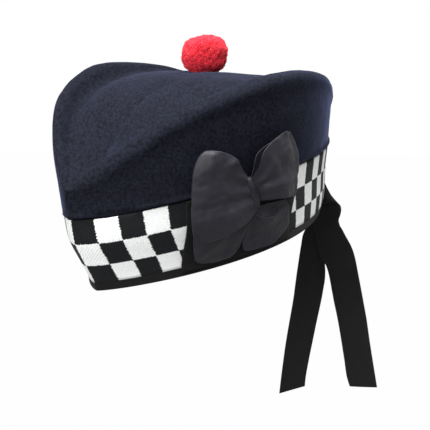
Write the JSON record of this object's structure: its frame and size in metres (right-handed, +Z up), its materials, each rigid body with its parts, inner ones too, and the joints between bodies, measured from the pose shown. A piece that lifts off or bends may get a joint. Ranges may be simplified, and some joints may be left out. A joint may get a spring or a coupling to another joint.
{
  "type": "glengarry",
  "caption": "Boat-shaped wool bonnet, creased along its top, with a diced band, a ribbon bow on the left, a red pompom and ribbon tails at the back.",
  "frame": {"origin": "the middle of the head opening, in the plane of its rim, where the head carries the hat", "axes": "+Z up; the hat's front faces -Y and is pitched 10 degrees down, as the hat is worn; the wearer's left, with the bow, is +X; the tails hang straight down at the back"},
  "size_m": [0.1697, 0.2786, 0.2902],
  "materials": {
    "navy_wool": "felted wool, matt, slightly fuzzy",
    "diced_wool": "woven checks, black and off-white, matt",
    "black_satin": "satin ribbon, soft sheen",
    "black_ribbon": "fine ribbed ribbon, matt",
    "red_yarn": "cut yarn, matt"
  },
  "bodies": {
    "root": {"crown": "navy_wool", "diced_band": "diced_wool", "binding": "black_ribbon", "side_ribbon": "black_ribbon", "bow_loop_front": "black_satin", "bow_loop_back": "black_satin", "bow_flap_front": "black_satin", "bow_flap_back": "black_satin", "bow_knot": "black_satin", "pompom": "red_yarn", "tail_tie": "black_ribbon", "tail_left": "black_ribbon", "tail_right": "black_ribbon"}
  },
  "joints": []
}
